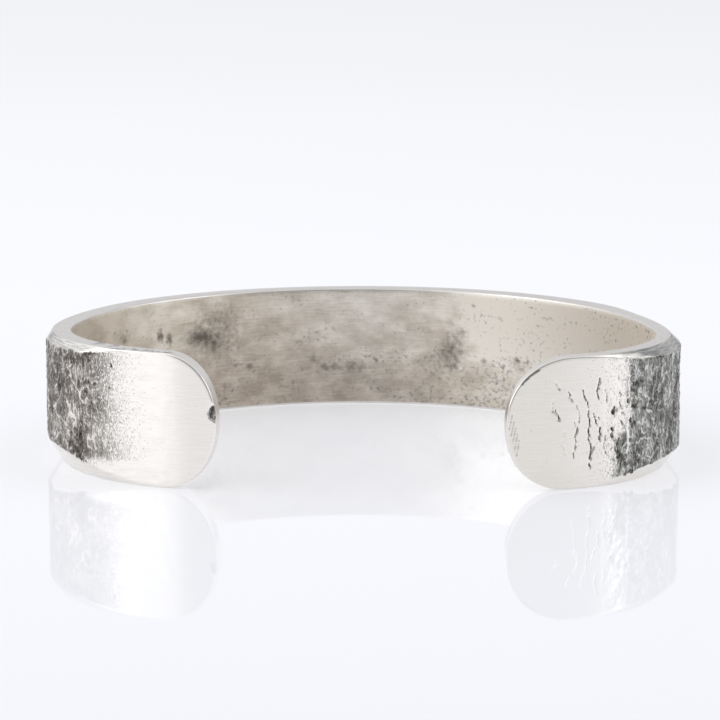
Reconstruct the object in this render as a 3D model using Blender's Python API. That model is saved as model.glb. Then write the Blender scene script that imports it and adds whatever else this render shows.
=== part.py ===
"""Cuff bracelet: one open band of cast silver with a bark-like outside and smooth rounded ends.

The band lies on its lower edge, with its opening towards -Y. It is worked out as a straight bar
first, measured from the tip of each side. Then each point of the bar is bent round the inner
oval, which is made of four arcs on each side.
"""

import math

import bmesh
import bpy
from mathutils import Vector, noise

MM = 0.001

# Band
BAND_HEIGHT = 12.7 * MM
WALL = 2.25 * MM
INNER_EDGE = 0.2 * MM

# Inner oval, each side from the middle of the back to its tip
LEFT_BACK_RADIUS = 27.7 * MM
LEFT_SIDE_RADIUS = 30.3 * MM
LEFT_SHOULDER_RADIUS = 15.4 * MM
LEFT_END_RADIUS = 21.1 * MM
RIGHT_BACK_RADIUS = 26.9 * MM
RIGHT_SIDE_RADIUS = 33.6 * MM
RIGHT_SHOULDER_RADIUS = 15.3 * MM
RIGHT_END_RADIUS = 21.6 * MM
BACK_TURN = math.radians(45)
SIDE_TURN = math.radians(40)
SHOULDER_TURN = math.radians(55)
END_TURN = math.radians(30)

# Tips: how far each rounded corner reaches along the band, and how the wall thins there
LEFT_TIP_UPPER = 4.9 * MM
LEFT_TIP_LOWER = 4.9 * MM
RIGHT_TIP_UPPER = 6.2 * MM
RIGHT_TIP_LOWER = 5.2 * MM
TIP_ROUNDNESS = 2.1
LEFT_TIP_WALL = 1.9 * MM
RIGHT_TIP_WALL = 1.1 * MM
THINNING_LENGTH = 16 * MM

# The right half is filed a little narrower: how much, and between which distances from the tip
RIGHT_UPPER_TAPER = 0.25 * MM
UPPER_TAPER_START = 18 * MM
UPPER_TAPER_END = 45 * MM
RIGHT_LOWER_TAPER = 0.15 * MM
LOWER_TAPER_START = 1 * MM
LOWER_TAPER_END = 11 * MM

# Filed outer edges: small at the back and the tips, wide round both sides
EDGE_DEPTH = 0.3 * MM
EDGE_HEIGHT = 0.35 * MM
LEFT_UPPER_DEPTH = 0.4 * MM
RIGHT_UPPER_DEPTH = 0.85 * MM
LOWER_DEPTH = 1.15 * MM
UPPER_CHAMFER_HEIGHT = 1.45 * MM
LEFT_LOWER_HEIGHT = 1.9 * MM
RIGHT_LOWER_HEIGHT = 1.5 * MM
UPPER_CHAMFER_START = 14 * MM
UPPER_CHAMFER_FULL = 25 * MM
LOWER_CHAMFER_START = 5 * MM
LOWER_CHAMFER_FULL = 18 * MM
CHAMFER_FADE_START = 33 * MM
CHAMFER_FADE_END = 43 * MM

# Bark relief on the outside, left off the polished ends. The shares are of its height.
RELIEF_HEIGHT = 0.32 * MM
FURROW_PITCH = 2.3 * MM
FURROW_LENGTH = 7.5 * MM
FURROW_WANDER = 1.2 * MM
FINE_FURROWS = 1.8
MEAN_SHARE = 0.3
COARSE_SHARE = 1.5
FINE_SHARE = 0.7
LOWEST_SHARE = -0.4
HIGHEST_SHARE = 0.9
LEFT_POLISHED = 8.5 * MM
RIGHT_POLISHED = 11.5 * MM
RELIEF_FADE = 5 * MM

# Fineness of the faces
COLUMN_PITCH = 0.65 * MM
TIP_COLUMNS = 9
FACE_ROWS = 8
MERGE_DISTANCE = 0.002 * MM


def smooth_step(low, high, value):
    """Rises from 0 to 1 between low and high, with level ends."""
    share = min(max((value - low) / (high - low), 0.0), 1.0)
    return share * share * (3 - 2 * share)


def blend(start, end, share):
    return start + (end - start) * share


class Edge:
    """The upper or the lower edge of one side, with distances measured from the tip."""

    def __init__(self, sign, reach, taper, taper_ends, chamfer, chamfer_ends):
        self.sign = sign
        self.reach = reach
        self.taper = taper
        self.taper_ends = taper_ends
        self.depth, self.height = chamfer
        self.chamfer_ends = chamfer_ends

    def half_height(self, from_tip):
        return BAND_HEIGHT / 2 - self.taper * (1 - smooth_step(*self.taper_ends, from_tip))

    def chamfer(self, from_tip):
        """Depth through the wall and height along the face of the filed edge."""
        share = smooth_step(*self.chamfer_ends, from_tip)
        share *= 1 - smooth_step(CHAMFER_FADE_START, CHAMFER_FADE_END, from_tip)
        return blend(EDGE_DEPTH, self.depth, share), blend(EDGE_HEIGHT, self.height, share)

    def rounded(self, share):
        """Outline of the rounded corner, from the tip at 0 to where the edge runs straight at 1."""
        angle = share * math.pi / 2
        from_tip = self.reach * (1 - math.cos(angle) ** (2 / TIP_ROUNDNESS))
        return from_tip, self.half_height(from_tip) * math.sin(angle) ** (2 / TIP_ROUNDNESS)

    def outline(self, column, length, body_columns):
        """Outline point in a column, and the direction from it into the face."""
        if column >= TIP_COLUMNS:
            from_tip = blend(self.reach, length, (column - TIP_COLUMNS) / body_columns)
            return from_tip, self.half_height(from_tip), 0.0, -1.0
        if column == 0:
            return 0.0, 0.0, 1.0, 0.0
        from_tip, across = self.rounded(column / TIP_COLUMNS)
        before = self.rounded((column - 0.1) / TIP_COLUMNS)
        after = self.rounded((column + 0.1) / TIP_COLUMNS)
        along, up = after[0] - before[0], after[1] - before[1]
        size = math.hypot(along, up)
        return from_tip, across, up / size, -along / size


class Side:
    """One half of the band, with distances measured from its tip."""

    def __init__(self, sign, radii, tip_wall, polished, lower, upper):
        self.sign = sign
        self.arcs = tuple(zip(radii, (BACK_TURN, SIDE_TURN, SHOULDER_TURN, END_TURN)))
        self.length = sum(radius * turn for radius, turn in self.arcs)
        self.tip_wall = tip_wall
        self.polished = polished
        self.lower = lower
        self.upper = upper
        straight = self.length - max(lower.reach, upper.reach)
        self.body_columns = max(round(straight / COLUMN_PITCH), 1)

    def bend(self, from_tip, across, outward):
        """The place in the bent band of a point of the straight bar."""
        left = self.length - from_tip
        x, y, heading = 0.0, 0.0, 0.0
        for number, (radius, turn) in enumerate(self.arcs):
            step = left / radius
            if number < len(self.arcs) - 1:
                step = min(step, turn)
            x += radius * (math.sin(heading + step) - math.sin(heading))
            y += radius * (math.cos(heading + step) - math.cos(heading))
            heading += step
            left -= radius * step
            if left <= 0:
                break
        x += outward * math.sin(heading)
        y += outward * math.cos(heading)
        return Vector((self.sign * x, y, BAND_HEIGHT / 2 + across))

    def wall(self, from_tip):
        return blend(self.tip_wall, WALL, smooth_step(0, THINNING_LENGTH, from_tip))

    def relief(self, from_tip, across):
        """Height of the bark at a point of the outside, its furrows running across the band."""
        along = self.sign * (self.length - from_tip)
        row = across / FURROW_LENGTH
        wander = FURROW_WANDER * noise.noise(Vector((along / FURROW_LENGTH, 2 * row, 5.3)))
        place = (along + wander) / FURROW_PITCH
        coarse = noise.noise(Vector((place, row, 0.7)))
        fine = noise.noise(Vector((FINE_FURROWS * place, 2 * row, 3.1)))
        share = MEAN_SHARE + COARSE_SHARE * coarse + FINE_SHARE * fine
        share = min(max(share, LOWEST_SHARE), HIGHEST_SHARE)
        cover = smooth_step(self.polished, self.polished + RELIEF_FADE, from_tip)
        return RELIEF_HEIGHT * cover * share

    def edge_points(self, edge, column):
        """Inner corner, rim and chamfer of one edge, and where the chamfer meets the face."""
        from_tip, across, along, up = edge.outline(column, self.length, self.body_columns)
        across, up = edge.sign * across, edge.sign * up
        depth, height = edge.chamfer(from_tip)
        inner = (from_tip + along * INNER_EDGE, across + up * INNER_EDGE, 0.0)
        rim = (from_tip, across, INNER_EDGE)
        chamfer = (from_tip, across, self.wall(from_tip) - depth)
        face = (from_tip + along * height, across + up * height)
        return [inner, rim, chamfer], face

    def section(self, column):
        """Ring of points round the band, from its lower inner corner to its upper one."""
        low, low_face = self.edge_points(self.lower, column)
        high, high_face = self.edge_points(self.upper, column)
        face = []
        for row in range(FACE_ROWS + 1):
            from_tip = blend(low_face[0], high_face[0], row / FACE_ROWS)
            across = blend(low_face[1], high_face[1], row / FACE_ROWS)
            face.append((from_tip, across, self.wall(from_tip) + self.relief(from_tip, across)))
        return [self.bend(*point) for point in (*low, *face, *reversed(high))]

    def sections(self):
        """All sections from the tip to the middle of the back."""
        return [self.section(column) for column in range(TIP_COLUMNS + self.body_columns + 1)]


UPPER_TAPER_ENDS = (UPPER_TAPER_START, UPPER_TAPER_END)
LOWER_TAPER_ENDS = (LOWER_TAPER_START, LOWER_TAPER_END)
UPPER_CHAMFER_ENDS = (UPPER_CHAMFER_START, UPPER_CHAMFER_FULL)
LOWER_CHAMFER_ENDS = (LOWER_CHAMFER_START, LOWER_CHAMFER_FULL)

LEFT = Side(
    -1,
    (LEFT_BACK_RADIUS, LEFT_SIDE_RADIUS, LEFT_SHOULDER_RADIUS, LEFT_END_RADIUS),
    LEFT_TIP_WALL,
    LEFT_POLISHED,
    Edge(-1, LEFT_TIP_LOWER, 0.0, LOWER_TAPER_ENDS,
         (LOWER_DEPTH, LEFT_LOWER_HEIGHT), LOWER_CHAMFER_ENDS),
    Edge(1, LEFT_TIP_UPPER, 0.0, UPPER_TAPER_ENDS,
         (LEFT_UPPER_DEPTH, UPPER_CHAMFER_HEIGHT), UPPER_CHAMFER_ENDS),
)
RIGHT = Side(
    1,
    (RIGHT_BACK_RADIUS, RIGHT_SIDE_RADIUS, RIGHT_SHOULDER_RADIUS, RIGHT_END_RADIUS),
    RIGHT_TIP_WALL,
    RIGHT_POLISHED,
    Edge(-1, RIGHT_TIP_LOWER, RIGHT_LOWER_TAPER, LOWER_TAPER_ENDS,
         (LOWER_DEPTH, RIGHT_LOWER_HEIGHT), LOWER_CHAMFER_ENDS),
    Edge(1, RIGHT_TIP_UPPER, RIGHT_UPPER_TAPER, UPPER_TAPER_ENDS,
         (RIGHT_UPPER_DEPTH, UPPER_CHAMFER_HEIGHT), UPPER_CHAMFER_ENDS),
)


def wrap_grid(sections):
    """A flat grid whose rows wrap round the sections, merged where they meet."""
    columns, rows = len(sections) - 1, len(sections[0])
    mesh = bmesh.new()
    bmesh.ops.create_grid(mesh, x_segments=columns, y_segments=rows, size=1.0)
    for vert in mesh.verts:
        column = round((vert.co.x + 1) / 2 * columns)
        row = round((vert.co.y + 1) / 2 * rows) % rows
        vert.co = sections[column][row]
    bmesh.ops.remove_doubles(mesh, verts=mesh.verts, dist=MERGE_DISTANCE)
    bmesh.ops.recalc_face_normals(mesh, faces=mesh.faces)
    return mesh


def stand_on_floor(mesh):
    """Moves the band so that the middle of its outer box is over the origin, its edge at z = 0."""
    low = [min(vert.co[axis] for vert in mesh.verts) for axis in range(3)]
    high = [max(vert.co[axis] for vert in mesh.verts) for axis in range(3)]
    shift = Vector((-(low[0] + high[0]) / 2, -(low[1] + high[1]) / 2, -low[2]))
    bmesh.ops.translate(mesh, vec=shift, verts=mesh.verts)


def silver():
    material = bpy.data.materials.new("cast_silver")
    material.use_nodes = True
    surface = material.node_tree.nodes["Principled BSDF"]
    surface.inputs["Base Color"].default_value = (0.80, 0.78, 0.75, 1)
    surface.inputs["Metallic"].default_value = 1.0
    surface.inputs["Roughness"].default_value = 0.3
    return material


def main():
    for obj in list(bpy.data.objects):
        bpy.data.objects.remove(obj)
    collection = bpy.data.collections.new("cuff_bracelet")
    bpy.context.scene.collection.children.link(collection)
    # The two halves share the section in the middle of the back.
    mesh = wrap_grid(LEFT.sections() + RIGHT.sections()[-2::-1])
    stand_on_floor(mesh)
    data = bpy.data.meshes.new("cuff_band")
    mesh.to_mesh(data)
    mesh.free()
    data.shade_smooth()
    data.set_sharp_from_angle(angle=math.radians(30))
    data.materials.append(silver())
    collection.objects.link(bpy.data.objects.new("cuff_band", data))


main()
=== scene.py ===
"""Cuff bracelet of cast silver: the looks of its band, a plain floor, soft light and the camera.

The band lies on its lower edge with its opening to the front (-Y). Its outside keeps the bark-like skin
of the casting, which was blackened and then rubbed bright on its ridges. Both ends were ground smooth and
polished, the edges were filed, and the inside was left satin, with stains.
"""

import logging
import math
from dataclasses import dataclass, field
from enum import Enum
from typing import Any

import bmesh
import bpy
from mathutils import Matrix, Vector, noise


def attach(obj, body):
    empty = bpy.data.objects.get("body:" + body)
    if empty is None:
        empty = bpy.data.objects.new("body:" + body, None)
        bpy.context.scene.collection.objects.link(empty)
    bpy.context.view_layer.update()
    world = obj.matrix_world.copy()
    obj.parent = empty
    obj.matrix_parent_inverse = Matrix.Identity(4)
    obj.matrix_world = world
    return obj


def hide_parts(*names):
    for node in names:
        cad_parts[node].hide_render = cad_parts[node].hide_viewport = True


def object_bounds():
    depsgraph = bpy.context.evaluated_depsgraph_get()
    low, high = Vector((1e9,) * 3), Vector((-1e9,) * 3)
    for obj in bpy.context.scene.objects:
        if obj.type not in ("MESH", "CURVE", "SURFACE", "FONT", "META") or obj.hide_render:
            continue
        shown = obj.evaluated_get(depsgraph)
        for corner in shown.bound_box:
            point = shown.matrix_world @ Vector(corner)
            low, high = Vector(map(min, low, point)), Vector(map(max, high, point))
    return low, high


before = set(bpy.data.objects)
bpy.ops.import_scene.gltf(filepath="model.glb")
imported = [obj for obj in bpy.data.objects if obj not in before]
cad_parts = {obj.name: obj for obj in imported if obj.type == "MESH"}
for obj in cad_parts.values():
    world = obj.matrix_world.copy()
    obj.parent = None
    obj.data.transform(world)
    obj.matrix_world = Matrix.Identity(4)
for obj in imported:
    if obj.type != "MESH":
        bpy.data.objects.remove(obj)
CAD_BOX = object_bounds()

LOG = logging.getLogger("cuff_bracelet")

MM = 0.001
Place = tuple[float, float]

HALF_BAND = 12.7 * MM / 2
TURNS = (math.radians(45), math.radians(40), math.radians(55), math.radians(30))

# Settings that many nodes share
SMOOTH = {"interpolation_type": "SMOOTHSTEP"}
TIMES = {"operation": "MULTIPLY"}
HELD_TIMES = {"operation": "MULTIPLY", "use_clamp": True}
COLOUR_MIX = {"data_type": "RGBA"}
TINT = {"data_type": "RGBA", "blend_type": "MULTIPLY"}


def smooth_step(low: float, high: float, value: float) -> float:
    """Rises from 0 to 1 between two values, with level ends.

    Args:
        low: The value at which the rise starts.
        high: The value at which it ends.
        value: Where it is asked for.

    Returns:
        The share of the rise, from 0 to 1.
    """
    share = min(max((value - low) / (high - low), 0.0), 1.0)
    return share * share * (3 - 2 * share)


def blend(start: float, end: float, share: float) -> float:
    """The value a share of the way from start to end."""
    return start + (end - start) * share


def lower_of(first: float, second: float, softness: float) -> float:
    """The lower of two heights, with a rounded change from one to the other.

    Args:
        first: One height.
        second: The other height.
        softness: The difference of heights over which the change is rounded.

    Returns:
        The rounded lower height.
    """
    share = min(max(0.5 + 0.5 * (second - first) / softness, 0.0), 1.0)
    return blend(second, first, share) - softness * share * (1 - share)


def linear_colour(code: str) -> tuple[float, float, float, float]:
    """Turns an sRGB hex value to linear red, green, blue and an alpha of 1."""
    channels = [int(code[place:place + 2], 16) / 255 for place in (1, 3, 5)]
    linear = [c / 12.92 if c <= 0.04045 else ((c + 0.055) / 1.055) ** 2.4 for c in channels]
    return linear[0], linear[1], linear[2], 1.0


def add_node(tree: bpy.types.NodeTree, kind: str, settings: dict[str, Any] | None = None,
             values: dict[Any, Any] | None = None,
             links: dict[Any, bpy.types.NodeSocket] | None = None,
             stops: tuple[tuple[float, str], ...] = ()) -> bpy.types.Node:
    """Adds a node with its settings, its sockets' values, its links and a colour ramp's stops.

    Args:
        tree: The node tree that gets the node.
        kind: Blender's name for the kind of node.
        settings: Properties of the node, by name.
        values: Values of input sockets, by name or number.
        links: Output sockets to link to input sockets, by name or number.
        stops: Positions on a colour ramp, each with an sRGB hex value.

    Returns:
        The new node.
    """
    node = tree.nodes.new(kind)
    for name, value in (settings or {}).items():
        setattr(node, name, value)
    for socket, value in (values or {}).items():
        node.inputs[socket].default_value = value
    for socket, source in (links or {}).items():
        tree.links.new(source, node.inputs[socket])
    for number, (position, code) in enumerate(stops):
        ramp = node.color_ramp
        element = ramp.elements[number] if number < 2 else ramp.elements.new(position)
        element.position = position
        element.color = linear_colour(code)
    return node


class Side(Enum):
    """Which half of the band, with the way its X runs as the value."""

    LEFT = -1
    RIGHT = 1


class Face(Enum):
    """The kinds of surface on the band, with the number of their material slot as the value."""

    BARK = 0
    RIM = 1
    INSIDE = 2


@dataclass
class Looks:
    """What the finishes read at one point of the band.

    Black is the share of the blackened skin that is left, tone how dark that skin is, and scuff how dull
    the bare metal is. On the rims and the inside, black is the share of a stain.
    """

    black: float = 0.0
    tone: float = 0.5
    scuff: float = 0.0


@dataclass(frozen=True)
class Groove:
    """A crack, or a raised vein where its depth is negative, along a few points of the outside.

    Each point is a distance from the tip and a height above the middle of the band.
    """

    points: tuple[Place, ...]
    width: float
    depth: float

    def reach(self, from_tip: float, across: float) -> float:
        """The share of the groove's depth at a place, from 0 outside it to 1 on its line.

        Args:
            from_tip: Distance from the tip.
            across: Height above the middle of the band.

        Returns:
            The share, from 0 to 1.
        """
        nearest = self.width
        for (x0, y0), (x1, y1) in zip(self.points, self.points[1:]):
            if not min(x0, x1) - self.width < from_tip < max(x0, x1) + self.width:
                continue
            if not min(y0, y1) - self.width < across < max(y0, y1) + self.width:
                continue
            run, rise = x1 - x0, y1 - y0
            share = ((from_tip - x0) * run + (across - y0) * rise) / (run * run + rise * rise)
            share = min(max(share, 0.0), 1.0)
            away = math.hypot(from_tip - x0 - share * run, across - y0 - share * rise)
            nearest = min(nearest, away)
        return 1 - smooth_step(0.25 * self.width, self.width, nearest)


@dataclass(frozen=True)
class Hollow:
    """A pit or a low patch of the outside, or a high patch where its depth is negative."""

    from_tip: float
    across: float
    half_length: float
    half_height: float
    depth: float
    core: float = 0.0

    def reach(self, from_tip: float, across: float) -> float:
        """The share of the hollow's depth at a place, from 0 outside it to 1 in its middle.

        Args:
            from_tip: Distance from the tip.
            across: Height above the middle of the band.

        Returns:
            The share, from 0 to 1.
        """
        away = math.hypot((from_tip - self.from_tip) / self.half_length,
                          (across - self.across) / self.half_height)
        return 1 - smooth_step(self.core, 1.0, away)


@dataclass(frozen=True)
class Bark:
    """The skin of the casting: long hollows between thin veins, with finer grain in them.

    Heights are shares of the relief's height, about -1 in the hollows to 1 on the veins. The last number of
    each noise's place is no size: it only picks the draw.
    """

    height: float = 0.30 * MM
    furrow_width: float = 1.7 * MM
    furrow_length: float = 4.5 * MM
    vein_spacing: Place = (1.1 * MM, 2.6 * MM)
    vein_share: float = 0.10
    scale_spacing: Place = (0.46 * MM, 0.85 * MM)
    scale_share: float = 0.16
    grain: Place = (0.20 * MM, 0.36 * MM)
    drift_length: float = 4.5 * MM
    drift: float = 1.1 * MM
    wobble_length: float = 0.9 * MM
    wobble: float = 0.30 * MM
    jag_length: Place = (0.50 * MM, 0.16 * MM)
    jag: Place = (0.16 * MM, 0.07 * MM)
    # How much the furrows, the veins, the scales, the grain and the finest grain count
    weights: tuple[float, float, float, float, float] = (0.95, 0.38, 0.20, 0.24, 0.34)
    sunk: float = 0.1
    # How the ground skin is laid on the wall: the share of its height, its lowest and highest places,
    # its rounding, and the share by which all of it stands out
    shown: float = 0.62
    lowest: float = -2.4
    highest: float = 0.35
    rounding: float = 0.12
    raised: float = 0.95

    def jagged(self, from_tip: float, across: float) -> float:
        """A distance from the tip, shifted so that a crack drawn straight runs jagged."""
        long = noise.noise(Vector((from_tip / (2 * MM), across / self.jag_length[0], 4.7)))
        short = noise.noise(Vector((from_tip / MM, across / self.jag_length[1], 8.3)))
        return from_tip + self.jag[0] * long + self.jag[1] * short

    def skin(self, along: float, across: float) -> float:
        """The height of the skin at a place, as a share of the relief's height.

        Args:
            along: Distance along the band from the middle of its back.
            across: Height above the middle of the band.

        Returns:
            The share, about -1 to 1.
        """
        slow = Vector((along, across, 0.0)) / self.drift_length
        quick = Vector((along, across, 0.0)) / self.wobble_length
        moved = along + self.drift * noise.noise(slow) + self.wobble * noise.noise(quick)
        slow_draw, quick_draw = Vector((7.3, 1.9, 4.1)), Vector((3.7, 8.2, 2.6))
        lifted = across + self.drift * noise.noise(slow + slow_draw)
        lifted += self.wobble * noise.noise(quick + quick_draw)
        furrow = noise.noise(Vector((moved / self.furrow_width, lifted / self.furrow_length, 1.3)))
        place = Vector((moved / self.vein_spacing[0], lifted / self.vein_spacing[1], 0.4))
        veins = noise.voronoi(place)[0]
        vein = math.exp(-((veins[1] - veins[0]) / self.vein_share) ** 2)
        place = Vector((moved / self.scale_spacing[0], lifted / self.scale_spacing[1], 2.2))
        scales = noise.voronoi(place)[0]
        scale = math.exp(-((scales[1] - scales[0]) / self.scale_share) ** 2)
        grain = noise.noise(Vector((along / self.grain[0], across / self.grain[1], 5.5)))
        fine = noise.noise(Vector((along / self.grain[0], across / self.grain[0], 9.1)) * 0.55)
        parts = (furrow, vein, scale, grain, fine)
        return sum(weight * part for weight, part in zip(self.weights, parts)) - self.sunk


@dataclass(frozen=True)
class Blackening:
    """How the blackening follows the relief: what hollows, cuts and veins add to it and to its tone."""

    full: float = 1.2
    crowding: Place = (0.75, 1.2)
    hollows: float = 0.5
    hollow_depths: Place = (0.05, 0.9)
    cuts: float = 0.92
    veins: float = 0.8
    middle_tone: float = 0.5
    skin_tone: float = 0.28
    cut_tone: float = 0.28
    vein_tone: float = 0.6

    def tone(self, skin: float, cut: float) -> float:
        """How dark the blackened skin is, from the skin's height and the depth of cuts in it."""
        dark = self.cut_tone * min(max(cut, 0.0), 1.0) + self.vein_tone * min(cut, 0.0)
        return self.middle_tone - self.skin_tone * skin + dark


@dataclass(frozen=True)
class Edge:
    """The upper or the lower edge of one half, measured from the tip."""

    up: int
    reach: float
    half_band: float
    taper: float
    taper_start: float
    taper_end: float
    filed_depth: float
    filed_height: float
    filed_start: float
    filed_full: float
    round_depth: float
    round_height: float
    fade_start: float = 33 * MM
    fade_end: float = 43 * MM
    dull: float = 0.0
    dull_start: float = 8 * MM
    roundness: float = 2.1

    def half_height(self, from_tip: float) -> float:
        """The height of the edge above or below the middle of the band."""
        return self.half_band - self.taper * (1 - smooth_step(self.taper_start, self.taper_end, from_tip))

    def filing(self, from_tip: float) -> tuple[float, float, float]:
        """The edge's depth through the wall, its height on the face, and its share of flat filing."""
        share = smooth_step(self.filed_start, self.filed_full, from_tip)
        share *= 1 - smooth_step(self.fade_start, self.fade_end, from_tip)
        depth = blend(self.round_depth, self.filed_depth, share)
        height = blend(self.round_height, self.filed_height, share)
        return depth, height, share

    def fall(self, into: float, from_tip: float) -> float:
        """How far the edge lies out from the face, which is negative within the filed strip.

        Args:
            into: Distance into the face from the outline.
            from_tip: Distance from the tip.

        Returns:
            The height against the face.
        """
        depth, height, flat = self.filing(from_tip)
        short = 1 - into / height
        rounded = -depth * (1 - math.sqrt(1 - short * short)) if short > 0 else -short * depth
        return blend(rounded, -depth * short, flat)

    def corner(self, share: float) -> Place:
        """A point of the rounded corner's outline, from the tip at 0 to the straight edge at 1."""
        angle = share * math.pi / 2
        from_tip = self.reach * (1 - math.cos(angle) ** (2 / self.roundness))
        return from_tip, self.half_height(from_tip) * math.sin(angle) ** (2 / self.roundness)

    def outline(self, share: float, from_tip: float) -> tuple[float, float, float, float]:
        """A point of the outline and the direction from it into the face.

        Args:
            share: The share of the rounded corner, or 1 past it.
            from_tip: The distance from the tip, past the rounded corner.

        Returns:
            The distance from the tip, the signed height, and the direction's two parts.
        """
        if share >= 1:
            return from_tip, self.up * self.half_height(from_tip), 0.0, -self.up
        if share <= 0:
            return 0.0, 0.0, 1.0, 0.0
        step = 0.002
        place, across = self.corner(share)
        before, after = self.corner(share - step), self.corner(min(share + step, 1.0))
        run, rise = after[0] - before[0], after[1] - before[1]
        size = math.hypot(run, rise)
        return place, self.up * across, rise / size, -self.up * run / size


@dataclass(frozen=True)
class Half:
    """One half of the band, from its tip to the middle of the back."""

    side: Side
    radii: tuple[float, float, float, float]
    turns: tuple[float, float, float, float]
    tip_wall: float
    full_wall: float
    thinning: float
    lower: Edge
    upper: Edge
    bare: tuple[float, float, float, float]
    black: Place
    low_shift: float
    grooves: tuple[Groove, ...]
    pits: tuple[Hollow, ...]
    patches: tuple[Hollow, ...]
    scratches: tuple[Groove, ...]
    tip_columns: int
    spacings: tuple[Place, ...]
    crumple: float = 0.02 * MM
    foot: float = 0.0
    haze: float = 0.0
    black_floor: float = -0.15
    specks: float = 0.0
    filed: float = 0.3
    rim_marks: tuple[Hollow, ...] = ()
    bark: Bark = field(default_factory=Bark)
    blackening: Blackening = field(default_factory=Blackening)
    # The wear's swing, and the heights between which it comes nearer to the tip
    swing: float = 0.55 * MM
    swing_length: float = 1.5 * MM
    near_heights: Place = (0.5 * MM, -3.5 * MM)
    # The ground-down level near the tip, at the first specks, and its rises after them
    ground_levels: Place = (-1.7, -0.85)
    ground_rises: Place = (0.95, 0.6)
    # Where the specks and the haze set in, and where the skin at the foot is rubbed off
    speck_ends: Place = (6.2 * MM, 10.2 * MM)
    crowd_heights: Place = (0.5 * MM, -1.5 * MM)
    haze_ends: Place = (4.5 * MM, 8.5 * MM)
    foot_ends: Place = (13 * MM, 17 * MM)
    foot_heights: Place = (-3.9 * MM, -4.9 * MM)
    # Small dents beside the bark, coarse and fine, and where they set in before it
    dent_size: Place = (0.75 * MM, 1.0 * MM)
    fine_dent_size: Place = (0.34 * MM, 0.42 * MM)
    fine_dents: float = 0.55
    dent_ends: Place = (-1.5 * MM, 0.8 * MM)
    # Gaps in the cracks: their size, the draws between which they close, and the slant of the pits
    crack_gaps: Place = (1.0 * MM, 0.42 * MM)
    gap_draws: Place = (-0.8, 0.05)
    pit_slant: float = 0.6

    @property
    def length(self) -> float:
        """The length of the inner face from the tip to the middle of the back."""
        return sum(radius * turn for radius, turn in zip(self.radii, self.turns))

    def wall(self, from_tip: float) -> float:
        """The thickness of the band at a distance from the tip."""
        return blend(self.tip_wall, self.full_wall, smooth_step(0, self.thinning, from_tip))

    def bend(self, from_tip: float, across: float, outward: float) -> Vector:
        """The place in the bent band of a point of the straight bar.

        Args:
            from_tip: Distance from the tip.
            across: Height above the middle of the band.
            outward: Distance out from the inner face.

        Returns:
            The point, with the inner face's back middle over the origin.
        """
        left = self.length - from_tip
        x, y, heading = 0.0, 0.0, 0.0
        for number, (radius, turn) in enumerate(zip(self.radii, self.turns)):
            step = left / radius
            if number < len(self.radii) - 1:
                step = min(step, turn)
            x += radius * (math.sin(heading + step) - math.sin(heading))
            y += radius * (math.cos(heading + step) - math.cos(heading))
            heading += step
            left -= radius * step
            if left <= 0:
                break
        x += outward * math.sin(heading)
        y += outward * math.cos(heading)
        return Vector((self.side.value * x, y, self.upper.half_band + across))

    def moved(self, from_tip: float, across: float) -> float:
        """The distance from the tip that counts for the wear, which swings and comes nearer at the foot."""
        swing = self.swing * noise.noise(Vector((across / self.swing_length, 3.3, self.side.value)))
        return from_tip + swing + self.low_shift * smooth_step(*self.near_heights, across)

    def grinding(self, place: float) -> float:
        """The level down to which the skin was ground, as a share of the relief's height.

        Args:
            place: The distance from the tip that counts for the wear.

        Returns:
            The level, below all of the skin near the tip and above most of it round the side.
        """
        start, specks, full, worn = self.bare
        level = blend(*self.ground_levels, smooth_step(start, specks, place))
        level += self.ground_rises[0] * smooth_step(specks, full, place)
        return level + self.ground_rises[1] * smooth_step(full, worn, place)

    def cut(self, from_tip: float, across: float) -> float:
        """How deep the cracks and pits cut at a place, less the height of the veins that stand out there.

        Args:
            from_tip: Distance from the tip.
            across: Height above the middle of the band.

        Returns:
            The depth, as a share of the relief's height.
        """
        total, crooked = 0.0, self.bark.jagged(from_tip, across)
        gap = Vector((across / self.crack_gaps[1], from_tip / self.crack_gaps[0], 2.9))
        for groove in self.grooves:
            share = groove.reach(crooked, across)
            if share > 0:
                total += groove.depth * share * smooth_step(*self.gap_draws, noise.noise(gap))
        for pit in self.pits:
            total += pit.depth * pit.reach(crooked, across + self.pit_slant * (crooked - from_tip))
        return total

    def blackness(self, from_tip: float, across: float, ground: float, cut: float) -> float:
        """The share of the blackened skin that is left at a place.

        Args:
            from_tip: Distance from the tip.
            across: Height above the middle of the band.
            ground: The height of the ground skin.
            cut: The depth of the cracks and pits.

        Returns:
            The share, below 0 or above 1 where nothing or all of it is left.
        """
        made = self.blackening
        black = blend(self.black_floor, made.full, smooth_step(*self.black, self.moved(from_tip, across)))
        crowded = blend(*made.crowding, smooth_step(*self.crowd_heights, across))
        black = max(black, self.specks * crowded * smooth_step(*self.speck_ends, from_tip))
        rubbed = smooth_step(*self.foot_heights, across) * (1 - smooth_step(*self.foot_ends, from_tip))
        black -= self.foot * rubbed
        black += made.hollows * smooth_step(*made.hollow_depths, -ground)
        return black + made.cuts * max(cut, 0.0) + made.veins * min(cut, 0.0)

    def dents(self, from_tip: float, across: float) -> float:
        """The height of the small dents at a place, which fade out towards the tip."""
        coarse, fine = self.dent_size, self.fine_dent_size
        height = noise.noise(Vector((from_tip / coarse[0], across / coarse[1], 6.1)))
        height += self.fine_dents * noise.noise(Vector((from_tip / fine[0], across / fine[1], 1.7)))
        start, end = (self.black[0] + shift for shift in self.dent_ends)
        return height * self.crumple * smooth_step(start, end, from_tip)

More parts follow.
